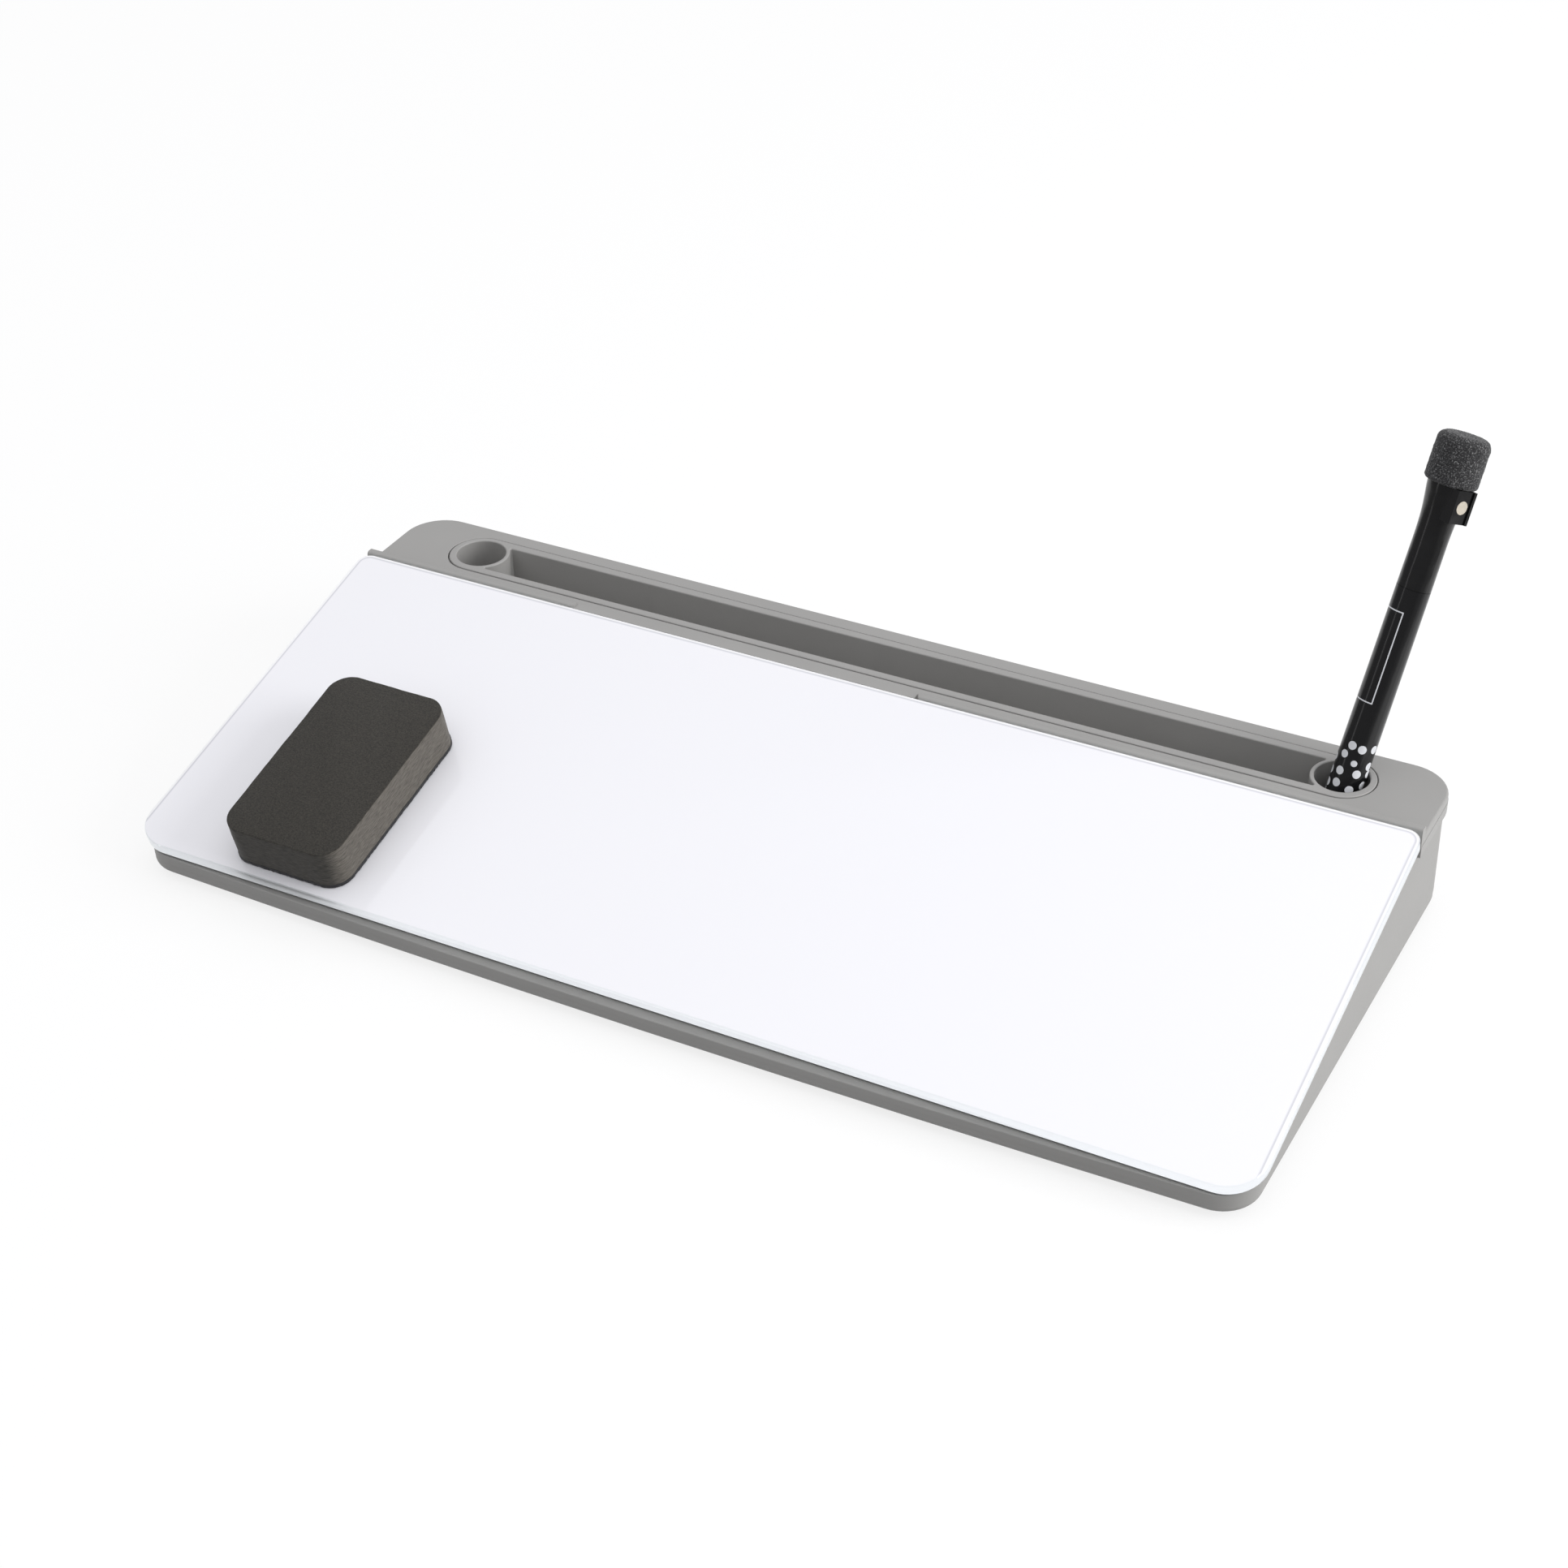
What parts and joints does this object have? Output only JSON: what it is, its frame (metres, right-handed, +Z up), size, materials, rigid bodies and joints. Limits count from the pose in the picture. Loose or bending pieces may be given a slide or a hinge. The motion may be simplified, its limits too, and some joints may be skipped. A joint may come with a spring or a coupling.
{
  "type": "desk whiteboard easel",
  "caption": "Sloping glass desk whiteboard on a hollow moulded base, with a lift-out accessory tray behind it, a capped marker leaning in the tray's cup and a block eraser on the glass.",
  "frame": {"origin": "on the desk, under the middle of the base, on the underside of the middle foot", "axes": "+X to the user's right along the board, +Y to the back where the tray is, +Z up"},
  "size_m": [0.4, 0.2221, 0.1535],
  "materials": {
    "grey_plastic": "satin",
    "screw_steel": "satin",
    "foot_rubber": "matte",
    "white_backed_glass": "gloss",
    "sheet_steel": "satin",
    "foam_tape": "matte",
    "marker_plastic": "gloss",
    "wick_fibre": "matte",
    "nib_felt": "matte",
    "seal_plastic": "matte",
    "magnet_metal": "satin",
    "tip_felt": "matte",
    "pad_felt": "matte",
    "eva_foam": "matte"
  },
  "bodies": {
    "base": {"base_housing": "grey_plastic", "bottom_cover": "grey_plastic", "bottom_screws": "screw_steel", "rubber_feet": "foot_rubber", "shelf_cover": "grey_plastic", "shelf_screws": "screw_steel", "glass_panel": "white_backed_glass", "steel_backing_sheet": "sheet_steel", "adhesive_strips": "foam_tape"},
    "tray": {"organizer_tray": "grey_plastic"},
    "marker": {"marker_barrel": "marker_plastic", "marker_end_plug": "marker_plastic", "ink_reservoir": "wick_fibre", "nib_holder": "marker_plastic", "writing_nib": "nib_felt"},
    "cap": {"marker_cap": "marker_plastic", "cap_seal": "seal_plastic", "cap_magnet": "magnet_metal", "felt_tip_eraser": "tip_felt"},
    "eraser": {"eraser_felt_pad": "pad_felt", "eraser_foam_block": "eva_foam"}
  },
  "joints": [
    {"name": "tray_lift", "type": "slide", "parent": "base", "child": "tray", "axis": [0, 0, 1], "range_m": [0, 0.04]},
    {"name": "marker_lift", "type": "slide", "parent": "tray", "child": "marker", "axis": [0.1231, 0.3678, 0.9217], "range_m": [0, 0.045]},
    {"name": "cap_pull", "type": "slide", "parent": "marker", "child": "cap", "axis": [0.1231, 0.3678, 0.9217], "range_m": [0, 0.032]},
    {"name": "eraser_wipe", "type": "slide", "parent": "base", "child": "eraser", "axis": [1, 0, 0], "range_m": [-0.036, 0.315]}
  ]
}
